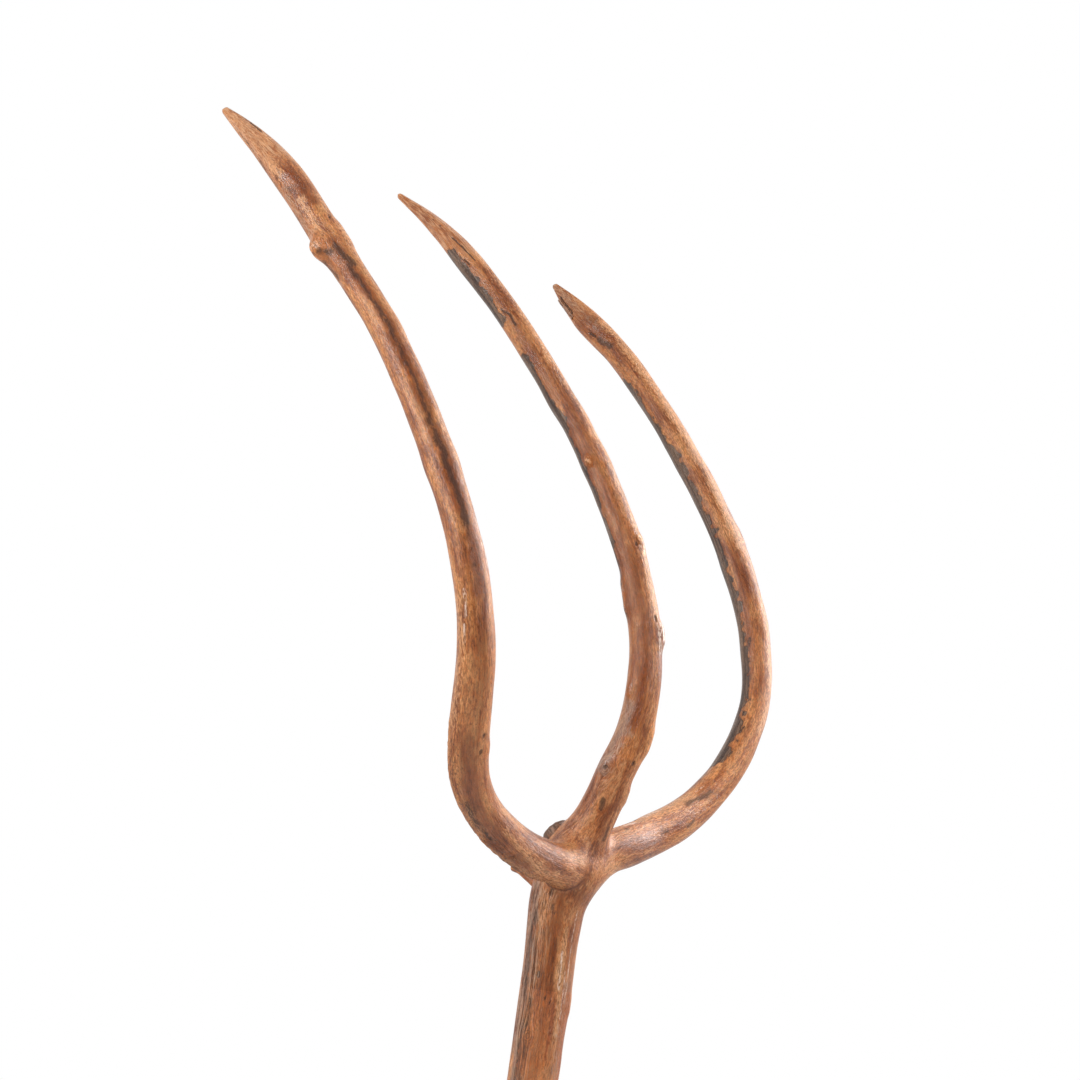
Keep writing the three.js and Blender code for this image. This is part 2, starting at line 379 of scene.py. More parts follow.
# Marks on each limb, drawn as strokes over its surface: what it is, the distance and angle where the stroke
# starts and ends, its half-width and its strength. A rise is so many millimetres high, and a crack so deep.
# The pale strokes are partly paler wood and partly painted light on the lit sides of the limbs; the silvery
# strokes are painted highlights, a few of them worn white scratches.
STROKES = {
    "trunk": [
        ("rise", 1507, 124, 1508, 122, 3.2, 2.0), ("pale_wood_and_painted_light", 1507, 124, 1508, 122, 2.4, 0.9),
        ("rise", 1501, 108, 1498, 60, 2.2, -0.45), ("eddy", 1299, 129, 1298, 127, 3.6, 1.0),
        ("eddy", 1128, 117, 1127, 117, 3.4, 1.0), ("rise", 1446, 40, 1443, 32, 4.5, 1.3),
        ("hole", 1443, 66, 1442, 62, 0.9, 0.9), ("rise", 1388, 16, 1382, 14, 5.0, 2.5),
        ("rise", 1351, 150, 1348, 140, 4.0, 1.3), ("rise", 1328, 12, 1318, 8, 6.0, 1.3),
        ("rise", 1301, 142, 1298, 132, 3.6, 1.4), ("hole", 1300, 130, 1299, 128, 1.1, 0.5),
        ("grey", 1303, 140, 1296, 130, 3.6, 0.9), ("hole", 1309, 58, 1308, 56, 0.8, 0.7),
        ("rise", 1281, 98, 1274, 96, 2.6, -0.7), ("stain", 1281, 98, 1275, 96, 1.5, 1.1),
        ("rise", 1290, 16, 1284, 12, 4.5, 1.2), ("grey", 1338, 140, 1300, 150, 8.0, 0.9),
        ("rise", 1420, 176, 1406, 176, 6.0, 1.6), ("crack", 1718, 100, 1690, 86, 0.5, 0.5),
        ("crack", 1696, 122, 1690, 118, 0.6, 0.7), ("crack", 1734, 90, 1733, 110, 0.5, 0.3),
        ("crack", 1743, 92, 1742, 112, 0.5, 0.3), ("crack", 1644, 128, 1636, 108, 0.7, 0.4),
        ("crack", 1636, 108, 1626, 112, 0.7, 0.4), ("bark", 1708, 172, 1640, 175, 6.0, 1.2),
        ("bark", 1600, 178, 1540, 175, 6.0, 1.1), ("bark", 1530, 180, 1450, 174, 5.0, 1.0),
        ("deep", 1530, 146, 1340, 140, 5.0, 0.65), ("stain", 1450, 182, 1400, 185, 4.0, 0.9),
        ("deep", 1756, 95, 1695, 95, 5.0, 0.5), ("deep", 1690, 118, 1560, 116, 4.0, 0.6),
        ("deep", 1540, 118, 1430, 112, 6.0, 0.6), ("deep", 1440, 106, 1330, 100, 5.0, 0.8),
        ("painted_highlight_and_scratch", 1390, 34, 1376, 26, 2.4, 1.6), ("painted_highlight_and_scratch", 1441, 54, 1438, 50, 1.2, 1.1),
        ("painted_highlight_and_scratch", 1303, 136, 1300, 132, 0.8, 0.6), ("painted_highlight_and_scratch", 1180, 66, 1158, 62, 1.0, 1.1),
        ("painted_highlight_and_scratch", 1168, 50, 1140, 47, 0.8, 1.0), ("painted_highlight_and_scratch", 1152, 78, 1146, 58, 0.5, 0.8),
        ("painted_highlight_and_scratch", 1206, 44, 1150, 40, 1.0, 0.7), ("deep", 1215, 34, 1000, 32, 9.0, 0.6),
        ("hole", 1396, 44, 1394, 44, 1.0, 0.8), ("grey", 1440, 178, 1340, 176, 4.0, 0.7),
        ("pale_wood_and_painted_light", 1700, 40, 1400, 30, 5.0, 0.8), ("stain", 1217, 107, 1214, 107, 1.8, 1.1),
        ("rise", 1217, 107, 1214, 107, 2.2, -0.6), ("stain", 1207, 100, 1203, 99, 1.8, 0.6),
        ("stain", 1266, 42, 1258, 40, 1.8, 0.9), ("grey", 1216, 146, 1000, 146, 7.0, 0.75),
        ("grey", 1160, 40, 1040, 36, 6.0, 0.5), ("pale_wood_and_painted_light", 1190, 62, 1130, 55, 2.0, 0.9),
        ("pale_wood_and_painted_light", 1178, 70, 1164, 68, 1.0, 1.2), ("stain", 1200, 138, 1090, 136, 2.2, 0.55),
        ("grooved", 1210, 138, 700, 140, 10.0, 1.4), ("grooved", 1300, 150, 1240, 140, 5.0, 0.7),
        ("stain", 1150, 122, 980, 122, 1.6, 0.6), ("rise", 968, 62, 960, 60, 6.0, 1.6),
        ("eddy", 966, 62, 964, 61, 4.5, 1.0), ("rise", 842, 215, 836, 218, 5.0, 1.3),
        ("hole", 838, 217, 838, 217, 1.2, 0.7), ("deep", 960, 70, 640, 110, 6.0, 0.7),
        ("grooved", 700, 150, 300, 200, 10.0, 0.9), ("rise", 706, 318, 700, 320, 6.0, 1.4),
        ("eddy", 704, 318, 702, 319, 4.2, 1.0), ("stain", 690, 318, 655, 322, 2.6, 0.8),
        ("rise", 566, 128, 561, 128, 4.5, 1.1), ("grey", 640, 20, 420, 350, 9.0, 0.7),
        ("rise", 428, 24, 420, 22, 6.5, 1.7), ("eddy", 425, 24, 423, 23, 4.6, 1.0),
        ("deep", 620, 120, 210, 100, 7.0, 0.8), ("rise", 262, 250, 256, 250, 5.0, 1.2),
        ("hole", 259, 250, 258, 250, 1.4, 0.8), ("grooved", 300, 60, 40, 40, 9.0, 0.8),
        ("grey", 180, 100, 0, 120, 14.0, 0.8), ("grey", 150, 280, 0, 260, 14.0, 0.8),
        ("stain", 26, 60, 0, 60, 7.0, 0.8), ("stain", 34, 200, 0, 210, 9.0, 0.9),
        ("stain", 20, 310, 0, 320, 7.0, 0.8), ("crack", 66, 142, 0, 140, 0.7, 1.4),
        ("crack", 38, 295, 0, 292, 0.6, 1.0), ("deep", 1222, 92, 960, 92, 6.5, 0.55),
        ("rise", 1150, 14, 1144, 12, 4.5, 0.8), ("hole", 1166, 112, 1164, 112, 1.0, 0.5),
        ("rise", 1129, 117, 1126, 117, 2.6, 0.5), ("crack", 1152, 92, 1148, 72, 0.5, 0.2),
    ],
    "left": [
        ("rise", 496, 168, 493, 150, 6.4, 4.8), ("stain", 489, 150, 484, 128, 2.2, 0.9),
        ("rise", 478, 172, 470, 160, 5.5, -0.8), ("rise", 504, 22, 492, 18, 7.0, 1.1),
        ("rise", 566, 138, 556, 132, 4.0, 0.9), ("rise", 545, 130, 536, 96, 4.5, -0.35),
        ("eddy", 542, 131, 540, 129, 4.2, 1.0), ("rise", 484, 92, 253, 70, 4.0, -0.45),
        ("rise", 158, 18, 162, 14, 4.0, 0.7), ("crack", 612, 52, 598, 60, 0.6, 0.9),
        ("hole", 510, 57, 509, 57, 0.8, 0.9), ("hole", 173, 45, 172, 45, 1.0, 0.5),
        ("hole", 163, 52, 162, 52, 1.0, 0.5), ("pale_wood_and_painted_light", 630, 120, 575, 115, 9.0, 0.75),
        ("grey", 641, 40, 600, 30, 2.6, 0.8), ("stain", 612, 178, 545, 176, 1.5, 0.6),
        ("stain", 530, 180, 506, 178, 1.5, 0.5), ("pale_wood_and_painted_light", 568, 140, 556, 135, 4.0, 1.1),
        ("pale_wood_and_painted_light", 530, 115, 505, 120, 3.0, 0.9), ("pale_wood_and_painted_light", 530, 40, 300, 22, 3.5, 0.6),
        ("grey", 545, 150, 500, 150, 4.0, 0.6), ("stain", 543, 131, 540, 126, 1.6, 0.75),
        ("deep", 556, 100, 524, 76, 3.6, 0.9), ("stain", 545, 92, 532, 84, 1.6, 0.45),
        ("stain", 487, 104, 468, 80, 2.4, 1.0), ("painted_highlight_and_scratch", 495, 156, 494, 152, 1.4, 1.1),
        ("painted_highlight_and_scratch", 290, 16, 264, 14, 1.3, 1.3), ("painted_highlight_and_scratch", 254, 116, 240, 120, 1.0, 1.1),
        ("painted_highlight_and_scratch", 236, 124, 226, 126, 0.9, 1.1), ("deep", 490, 100, 400, 78, 4.2, 0.9),
        ("stain", 470, 98, 400, 80, 1.8, 0.8), ("deep", 400, 78, 253, 66, 4.8, 0.95),
        ("stain", 400, 80, 345, 78, 1.8, 0.75), ("stain", 345, 80, 288, 69, 2.4, 1.0),
        ("stain", 310, 72, 265, 70, 1.5, 0.55), ("stain", 484, 175, 470, 168, 4.5, 0.7),
        ("deep", 253, 66, 120, 70, 5.5, 0.45), ("pale_wood_and_painted_light", 250, 146, 176, 150, 5.0, 0.7),
        ("stain", 478, 178, 386, 176, 1.5, 0.6), ("eddy", 9, 92, 6, 90, 5.0, 1.0),
        ("stain", 13, 80, 8, 76, 1.4, 0.9), ("pitted", 175, 160, 94, 118, 8.0, 1.2),
        ("pitted", 94, 122, 0, 108, 8.5, 1.5), ("stain", 128, 110, 96, 92, 3.0, 0.7),
        ("stain", 60, 128, 20, 118, 3.0, 0.55), ("deep", 170, 92, 60, 74, 7.0, 0.75),
        ("deep", 150, 30, 70, 30, 5.0, 0.5), ("pale_wood_and_painted_light", 95, 38, 30, 52, 4.0, 0.5),
    ],
    "right": [
        ("rise", 545, 138, 538, 130, 3.0, -0.2), ("eddy", 547, 137, 545, 135, 4.0, 1.0),
        ("eddy", 572, 88, 570, 86, 3.6, 1.0), ("stain", 552, 142, 540, 126, 2.8, 0.95),
        ("hole", 563, 150, 557, 142, 1.0, 1.2), ("rise", 352, 16, 345, 14, 6.0, 0.9),
        ("bark", 505, 186, 430, 180, 6.0, 1.0), ("bark", 430, 180, 330, 176, 8.5, 1.1),
        ("bark", 330, 176, 262, 182, 9.5, 1.2), ("bark", 262, 182, 165, 162, 10.5, 1.1),
        ("bark", 160, 200, 138, 214, 4.5, 0.9), ("bark", 262, 215, 190, 225, 5.0, 0.9),
        ("deep", 612, 120, 560, 110, 6.0, 0.8), ("painted_highlight_and_scratch", 49, 140, 45, 138, 1.5, 1.2),
        ("painted_highlight_and_scratch", 58, 92, 46, 92, 1.3, 1.2), ("painted_highlight_and_scratch", 90, 105, 74, 102, 2.4, 1.2),
        ("painted_highlight_and_scratch", 104, 98, 98, 98, 1.2, 1.0), ("painted_highlight_and_scratch", 135, 94, 127, 95, 1.2, 0.8),
        ("stain", 68, 120, 56, 108, 3.2, 0.85), ("stain", 48, 78, 42, 72, 2.0, 0.7),
        ("painted_highlight_and_scratch", 335, 36, 305, 34, 1.0, 0.8), ("deep", 320, 108, 250, 118, 3.5, 0.6),
        ("deep", 345, 96, 300, 90, 4.0, 0.5), ("pale_wood_and_painted_light", 560, 60, 340, 60, 6.0, 1.0),
        ("pale_wood_and_painted_light", 300, 30, 200, 30, 5.0, 0.8), ("pale_wood_and_painted_light", 118, 96, 64, 100, 7.0, 1.3),
        ("grey", 150, 150, 76, 150, 6.5, 0.95), ("deep", 608, 150, 560, 150, 4.0, 0.8),
        ("stain", 108, 24, 100, 10, 1.6, 0.9), ("stain", 80, 26, 72, 18, 1.6, 0.9),
        ("stain", 135, 60, 110, 80, 3.0, 0.8), ("grey", 627, 120, 596, 110, 5.0, 0.8),
        ("grey", 596, 110, 560, 110, 5.0, 0.5), ("crack", 610, 149, 589, 146, 0.7, 1.0),
    ],
    "stump": [],
    "twig": [],
}

# Faces left by the knife at the points: where the cut starts, its angle, its depth there and at the tip.
CUTS = {
    "trunk": [(1694, 110, 9.6, 1.3), (1686, 52, 10.2, 1.5), (1696, 168, 9.4, 1.5), (1690, 280, 9.6, 1.2)],
    "left": [(556, 102, 9.8, 1.1), (566, 168, 10.0, 1.8), (560, 285, 9.8, 1.3)],
    "right": [(566, 96, 10.0, 1.2), (570, 285, 9.8, 1.2)],
    "stump": [],
    "twig": [],
}
CUT_EASE = 0.6  # how far the edge of a cut is worn round
POINT_ROUNDING = 2.4  # length over which each point is worn round

# Strokes with a ragged edge.
PAINTED = ("bark", "stain", "deep", "pale_wood_and_painted_light", "grey", "pitted", "grooved", "painted_highlight_and_scratch")


def stroke(limb, s, angle, mark):
    """How strongly a stroke covers each place, from 0 to 1."""
    kind, start, turn, end, end_turn, width, _ = mark
    s, angle = np.broadcast_arrays(s, angle)
    cover = np.zeros(s.shape)
    low, high = min(start, end), max(start, end)
    near = (s > low - 2.5 * width) & (s < high + 2.5 * width)
    if not near.any():
        return cover
    s, angle = s[near], angle[near]
    share = np.clip((s - start) / (end - start), 0, 1) if high - low > 3 else 0.5
    middle = math.radians(turn) + share * math.radians(end_turn - turn)
    around = (angle - middle + math.pi) % (2 * math.pi) - math.pi
    off = around * limb.read("radius", s) / width
    if kind in PAINTED:
        place = np.stack([s, 9 * np.cos(angle) + start, 9 * np.sin(angle)], axis=-1)
        off = off + 0.3 * noise(place / 14, limb.seed + 9) + 0.4 * noise(place / (4, 3, 3), limb.seed + 10)
    beyond = np.maximum(np.maximum(low - s, s - high), 0)
    cover[near] = np.exp(-(off**2) - (beyond / width) ** 2)
    return cover


def wood_relief(limb, s, angle, plain):
    """The real surface of a peeled, worn limb: uneven girth, flutes, knots, cracks and knife cuts."""
    grain = limb.grain(s, angle)
    firm = np.minimum(1.0, plain / 9.0)
    total = plain + firm * (
        0.26 * noise(grain / (19, 19, 31), limb.seed)
        + 0.16 * noise(grain / (7, 7, 15), limb.seed + 1)
        + 0.14 * noise(grain / (3.2, 3.2, 60), limb.seed + 2)
        + 0.06 * noise(grain / (1.6, 1.6, 11), limb.seed + 3)
    )
    for start, turn, deep, shallow in CUTS[limb.name]:
        share = np.clip((s - start) / (limb.length - start), 0, 1)
        facing = np.maximum(np.cos(angle - math.radians(turn)), 0.05)
        plane = (deep + (shallow - deep) * share) / facing
        limit = np.where(s > start, plane, total + 9)
        blend = np.clip(0.5 + 0.5 * (limit - total) / CUT_EASE, 0, 1)
        total = limit + (total - limit) * blend - CUT_EASE * blend * (1 - blend)
    for mark in STROKES[limb.name]:
        kind, amount = mark[0], mark[-1]
        if kind == "rise":
            total = total + amount * stroke(limb, s, angle, mark)
        elif kind in ("crack", "hole"):
            total = total - amount * stroke(limb, s, angle, mark)
        elif kind == "pitted":
            rough = noise(grain / (1.9, 1.9, 2.6), limb.seed + 5)
            rough = rough + 0.6 * noise(grain / (4, 4, 6), limb.seed + 6)
            total = total + 0.3 * amount * stroke(limb, s, angle, mark) * rough
        elif kind == "grooved":
            furrow = np.maximum(noise(grain / (1.2, 1.2, 55), limb.seed + 7) - 0.15, 0)
            total = total - 0.4 * amount * stroke(limb, s, angle, mark) * furrow
    near_end = np.clip((s - limb.length + POINT_ROUNDING) / POINT_ROUNDING, 0, 0.995)
    return total * np.sqrt(1 - near_end**2)


for limb in (trunk, left, right, stump, twig):
    limb.relief = wood_relief

# ---------------------------------------------------------------- colour fields

FIELDS = (
    "bark", "stain", "deep", "pale_wood_and_painted_light", "grey", "painted_highlight_and_scratch",
    "pitted", "grooved", "eddy", "cut", "end_grain", "depth",
)
CRACK_STAIN = 1.7  # how dirty cracks and holes are


def wood_fields(limb, s, angle):
    """What the surface carries at each place, from dirt and bark to pits and end grain, with painted
    highlights and painted light among them.
    """
    fields = {key: np.zeros(np.broadcast(s, angle).shape) for key in FIELDS}
    for mark in STROKES[limb.name]:
        opened = mark[0] in ("crack", "hole")
        key = "stain" if opened else mark[0]
        if key in fields:
            amount = CRACK_STAIN if opened else mark[-1]
            fields[key] = np.maximum(fields[key], amount * stroke(limb, s, angle, mark))
    for start, turn, _, _ in CUTS[limb.name]:
        facing = np.cos(angle - math.radians(turn))
        shown = smoothstep(start + 4, start + 22, s) * smoothstep(0.2, 0.6, facing)
        fields["cut"] = np.maximum(fields["cut"], shown)
    fields["depth"] = limb.outer(s, angle)
    return fields


# ---------------------------------------------------------------- meshes


SHARP_EDGE = math.radians(50)


def make_piece(name, vertices, faces, grain, fields, material, second_grain=None, second_share=None):
    """A piece of the fork: its mesh, what its surface carries, its finish and the CAD node it stands for."""
    mesh = bpy.data.meshes.new(name)
    mesh.from_pydata((vertices * MM).tolist(), [], faces)
    mesh.validate()
    mesh.shade_smooth()
    mesh.set_sharp_from_angle(angle=SHARP_EDGE)
    vectors = {"grain": grain}
    numbers = dict(fields)
    if second_grain is not None:
        vectors["second_grain"] = second_grain
        numbers["second_share"] = second_share
    for key, value in vectors.items():
        mesh.attributes.new(key, "FLOAT_VECTOR", "POINT").data.foreach_set("vector", value.ravel())
    for key, value in numbers.items():
        mesh.attributes.new(key, "FLOAT", "POINT").data.foreach_set("value", value.ravel())
    mesh.materials.append(material)
    piece = bpy.data.objects.new(name, mesh)
    bpy.context.scene.collection.objects.link(piece)
    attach(piece, "root")
    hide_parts(name.removesuffix("_wood"))
    return piece


def skin(rings):
    """Vertices and faces of a closed skin over rings of points, with a middle point at each end."""
    count, around = rings.shape[:2]
    vertices = np.concatenate([rings.reshape(-1, 3), [rings[0].mean(axis=0), rings[-1].mean(axis=0)]])
    here = np.arange(around)
    after = (here + 1) % around
    rows = np.arange(count - 1)[:, None] * around
    quads = np.stack([rows + after, rows + here, rows + around + here, rows + around + after], axis=-1)
    end = (count - 1) * around
    start_fan = np.stack([here, after, np.full(around, count * around)], axis=-1)
    end_fan = np.stack([end + after, end + here, np.full(around, count * around + 1)], axis=-1)
    return vertices, quads.reshape(-1, 4).tolist() + start_fan.tolist() + end_fan.tolist()


def ring_places(s, around):
    """The distance and angle of every place on rings round a limb."""
    turn = np.linspace(0, 2 * math.pi, around, endpoint=False)
    return np.meshgrid(s, turn, indexing="ij")


def ring_piece(name, rings, grain, low, high, fields, material):
    """A closed piece over rings, with an end point at the heart of each end ring."""
    vertices, faces = skin(rings)
    grain = np.concatenate([grain.reshape(-1, 3), [[0, 0, low], [0, 0, high]]])
    closed = {}
    for key, value in fields.items():
        closed[key] = np.concatenate([value.ravel(), [value[0].mean(), value[-1].mean()]])
    return make_piece(name, vertices, faces, grain, closed, material)


TINE_STEP = 1.4
TINE_AROUND = 96
TWIG_STEP = 0.8
TWIG_AROUND = 40


def limb_piece(name, limb, low, step, around, material):
    """The rest of a limb as a piece of its own, from a flat cut to a worn point."""
    high = limb.length
    s = np.linspace(low, high, int((high - low) / step) + 1)
    body = s[s < high - POINT_ROUNDING]
    s = np.concatenate([body, high - POINT_ROUNDING * np.cos(np.linspace(0, 1.52, 9))])
    place, angle = ring_places(s, around)
    rings = limb.surface(place, angle)
    grain = limb.grain(place, angle)
    return ring_piece(name, rings, grain, low, high, wood_fields(limb, place, angle), material)


BUTT_CHAMFER = 2.0
BUTT_RINGS = 15  # rings on the sawn face
EDGE_RINGS = 6  # rings round its eased edge
HANDLE_STEP = 2.2
HANDLE_AROUND = 128
CHECK_DEPTH = 0.9  # how deep the drying checks in the sawn face are
SAW_MARK = 0.12


def handle_piece(material):
    """The handle: a sawn butt with drying checks and an eased edge, and the long shaft above."""
    chamfer = BUTT_CHAMFER / trunk.radius[0]
    face = np.linspace(0.05, 1 - (BUTT_CHAMFER + 0.3) / trunk.radius[0], BUTT_RINGS)
    edge = np.linspace(0, 1, EDGE_RINGS)[:-1]
    body = np.linspace(BUTT_CHAMFER, handle_top, int(handle_top / HANDLE_STEP))
    s = np.concatenate([np.zeros(BUTT_RINGS), BUTT_CHAMFER * edge**1.2, body])
    share = np.concatenate([face, 1 - chamfer * (1 - edge**0.8), np.ones(len(body))])
    place, angle = ring_places(s, HANDLE_AROUND)
    share = share[:, None] * np.ones_like(place)
    reach = trunk.outer(np.maximum(place, 0.5), angle) * share
    rings = trunk.read("centre", place) + trunk.outward(place, angle) * reach[..., None]
    on_face = np.arange(len(s))[:, None] < BUTT_RINGS
    fields = wood_fields(trunk, place, angle)
    saw_marks = SAW_MARK * (noise(rings / (0.9, 7.0, 1), 91) + 1)
    checks = np.minimum(fields["stain"], 1.0) * smoothstep(0.15, 0.5, share) * smoothstep(1.0, 0.8, share)
    rings[..., 2] = np.where(on_face, saw_marks + CHECK_DEPTH * checks, rings[..., 2])
    grain = trunk.grain(place, angle) * np.stack([share, share, np.ones_like(share)], axis=-1)
    fields["end_grain"] = on_face * np.ones_like(place)
    fields["depth"] = reach
    return ring_piece("handle_wood", rings, grain, 0, handle_top, fields, material)


# ---------------------------------------------------------------- the crotch

NET_STEP = 1.7
NET_MARGIN = 9.0
NET_REACH = NET_MARGIN + 4  # how far past the crotch's ends its limbs are followed
COARSE = 4  # a cell of the coarse net, in cells of the fine one

CROTCH_SPANS = {
    "trunk": (handle_top - NET_REACH, middle_start + NET_REACH),
    "left": (left.s[0], left_start + NET_REACH),
    "right": (right.s[0], right_start + NET_REACH),
    "stump": (stump.s[0], stump_start + 4),
}
# Where the other nodes take over: the limb, the distance along it, the sense of the cut and its reach.
CROTCH_ENDS = (
    (trunk, handle_top, -1, 40.0),
    (trunk, middle_start, 1, 40.0),
    (left, left_start, 1, 40.0),
    (right, right_start, 1, 40.0),
    (stump, stump_start, 1, 14.0),
)


def merge(first, second, spread):
    """Two fields of distance run together, with a fillet where they meet."""
    (a, slope_a), (b, slope_b) = first, second
    share = np.clip(0.5 + 0.5 * (a - b) / spread, 0, 1)
    value = a + (b - a) * share - spread * share * (1 - share)
    return value, slope_a + (slope_b - slope_a) * share[:, None]


def locate_in_crotch(limb, points):
    return limb.locate(points, *CROTCH_SPANS[limb.name])


def limb_distance(limb, points):
    s, angle, away, outward = locate_in_crotch(limb, points)
    return away - limb.outer(s, angle), outward


def crotch_distance(points):
    """The distance of each point outside the crotch's surface, and the way out."""
    rise = points[:, 2] - CROTCH[2]
    below = 1 - smoothstep(-6, 12, rise - 0.25 * (points[:, 0] - CROTCH[0]))
    whole = merge(limb_distance(trunk, points), limb_distance(stump, points), 9.0)
    whole = merge(whole, limb_distance(left, points), 4 + 11 * smoothstep(-10, 6, rise))
    return merge(whole, limb_distance(right, points), 10 + 9 * below)


def surface_net(values, low, step):
    """A mesh where sampled values change sign, with a vertex in each crossed cell."""
    corners = []
    for corner in np.ndindex(2, 2, 2):
        corners.append(values[tuple(slice(c, n - 1 + c) for c, n in zip(corner, values.shape))])
    stack = np.stack(corners)
    crossed = (stack.min(axis=0) < 0) & (stack.max(axis=0) >= 0)
    index = np.full(crossed.shape, -1)
    index[crossed] = np.arange(crossed.sum())
    vertices = low + (np.argwhere(crossed) + 0.5) * step
    faces = []
    for axis in range(3):
        u, v = (axis + 1) % 3, (axis + 2) % 3
        lower = values[tuple(slice(0, -1) if d == axis else slice(1, -1) for d in range(3))]
        upper = values[tuple(slice(1, None) if d == axis else slice(1, -1) for d in range(3))]
        for wanted, order in (((lower < 0) & (upper >= 0), 1), ((lower >= 0) & (upper < 0), -1)):
            edge = np.argwhere(wanted)
            edge[:, [u, v]] += 1
            ring = []
            for du, dv in ((-1, -1), (0, -1), (0, 0), (-1, 0)):
                cell = edge.copy()
                cell[:, u] += du
                cell[:, v] += dv
                ring.append(index[tuple(cell.T)])
            faces.append(np.stack(ring[::order], axis=1))
    return vertices, np.concatenate(faces)


def settle(vertices, faces, rounds):
    """Evens out a mesh and draws it onto the crotch's surface."""
    edges = np.concatenate([faces[:, [i, (i + 1) % 4]] for i in range(4)])
    count = np.bincount(edges.ravel(), minlength=len(vertices))[:, None]
    for _ in range(rounds):
        total = np.zeros_like(vertices)
        np.add.at(total, edges[:, 0], vertices[edges[:, 1]])
        np.add.at(total, edges[:, 1], vertices[edges[:, 0]])
        vertices = vertices * 0.4 + 0.6 * total / count
        for _ in range(2):
            value, slope = crotch_distance(vertices)
            length = np.maximum((slope**2).sum(axis=1), 0.25)[:, None]
            vertices = vertices - np.clip(value, -3, 3)[:, None] * slope / length
    return vertices


def subdivide(vertices, faces):
    """Every face in four."""
    pairs = np.sort(np.concatenate([faces[:, [i, (i + 1) % 4]] for i in range(4)]), axis=1)
    unique, which = np.unique(pairs, axis=0, return_inverse=True)
    middle = len(vertices) + which.reshape(4, -1).T
    centre = len(vertices) + len(unique) + np.arange(len(faces))
    grown = np.concatenate([vertices, vertices[unique].mean(axis=1), vertices[faces].mean(axis=1)])
    parts = [
        np.stack([faces[:, i], middle[:, i], centre, middle[:, i - 1]], axis=1)
        for i in range(4)
    ]
    return grown, np.concatenate(parts)


def trim(vertices, faces, planes):
    """Cuts a mesh square at each plane, within reach of the plane's point, and closes the cuts."""
    bm = bmesh.new()
    mesh = bpy.data.meshes.new("whole")
    mesh.from_pydata(vertices.tolist(), [], faces.tolist())
    bm.from_mesh(mesh)
    bpy.data.meshes.remove(mesh)
    for point, way, reach in planes:
        near = [face for face in bm.faces if (face.verts[0].co - Vector(point)).length < reach]
        parts = set(near)
        for face in near:
            parts.update(face.verts)
            parts.update(face.edges)
        bmesh.ops.bisect_plane(bm, geom=list(parts), plane_co=point, plane_no=way, clear_outer=True)
    bmesh.ops.holes_fill(bm, edges=[edge for edge in bm.edges if edge.is_boundary], sides=0)
    bm.verts.index_update()
    places = np.array([vertex.co for vertex in bm.verts])
    corners = [[vertex.index for vertex in face.verts] for face in bm.faces]
    bm.free()
    return places, corners


def fibres_near(limb, points, place):
    """Fibre coordinates of points on or near a limb, carried on past its hidden end."""
    s, angle, away, _ = place
    beyond = ((points - limb.read("centre", s)) * limb.read("along", s)).sum(axis=1)
    across = np.sqrt(np.maximum(away**2 - beyond**2, 0)) / limb.read("radius", s)
    grain = limb.grain(s, angle) * np.stack([across, across, np.ones_like(s)], axis=1)
    return grain + beyond[:, None] * (0, 0, 1)


def crotch_mesh():
    """The crotch's surface as a fine mesh, cut square where the other nodes take over."""
    low, high = (np.array(corner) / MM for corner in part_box("crotch"))
    low, high = low - NET_MARGIN, high + NET_MARGIN
    shape = np.ceil((high - low) / NET_STEP / COARSE).astype(int) * COARSE
    grid = low + np.stack(np.meshgrid(*(np.arange(n) for n in shape), indexing="ij"), axis=-1) * NET_STEP
    coarse = crotch_distance(grid[::COARSE, ::COARSE, ::COARSE].reshape(-1, 3))[0].reshape(shape // COARSE)
    values = coarse.repeat(COARSE, axis=0).repeat(COARSE, axis=1).repeat(COARSE, axis=2)
    close = np.abs(values) < COARSE * NET_STEP * 1.9
    values[close] = crotch_distance(grid[close])[0]
    vertices, faces = surface_net(values, low, NET_STEP)
    vertices = settle(vertices, faces, 3)
    vertices, faces = subdivide(vertices, faces)
    vertices = settle(vertices, faces, 2)
    planes = []
    for limb, s, sense, reach in CROTCH_ENDS:
        planes.append((limb.read("centre", s), sense * limb.read("along", s), reach))
    return trim(vertices, faces, planes)


def crotch_piece(material):
    """The crotch: what its surface carries passes smoothly from the stem to each side tine."""
    vertices, faces = crotch_mesh()
    grain, carried, out = {}, {}, {}
    for limb in (trunk, left, right):
        place = locate_in_crotch(limb, vertices)
        s, angle, away, _ = place
        grain[limb] = fibres_near(limb, vertices, place)
        carried[limb] = wood_fields(limb, s, angle)
        out[limb] = away - limb.outer(s, angle)
    share_left = smoothstep(-5, 7, out[trunk] - out[left])
    share_right = smoothstep(-5, 7, out[trunk] - out[right])
    leftward = share_left > share_right
    side_grain = np.where(leftward[:, None], grain[left], grain[right])
    share = np.abs(share_left - share_right)
    fields = {}
    for key in FIELDS:
        side = np.where(leftward, carried[left][key], carried[right][key])
        fields[key] = carried[trunk][key] + (side - carried[trunk][key]) * share
    # Dirt and painted shade: the fillet where the left tine's root meets the stem, below the crotch, is
    # darkened with the stain and deepest tones.
    crease_dirt_and_painted_shade = np.exp(-(((out[left] - out[trunk]) / 1.6) ** 2))
    crease_dirt_and_painted_shade *= smoothstep(-60, -5, -np.abs(out[left] + out[trunk]))
    crease_dirt_and_painted_shade *= smoothstep(2, -6, vertices[:, 2] - CROTCH[2])
    fields["stain"] = np.maximum(fields["stain"], 0.6 * crease_dirt_and_painted_shade)
    fields["deep"] = np.maximum(fields["deep"], crease_dirt_and_painted_shade)
    name = slot = "crotch_wood"
    return make_piece(name, vertices, faces, grain[trunk], fields, material, side_grain, share)


# ---------------------------------------------------------------- the smallest pieces


STUMP_AROUND = 72
STUMP_SIDE_RINGS = 10
STUMP_FACE_RINGS = 9


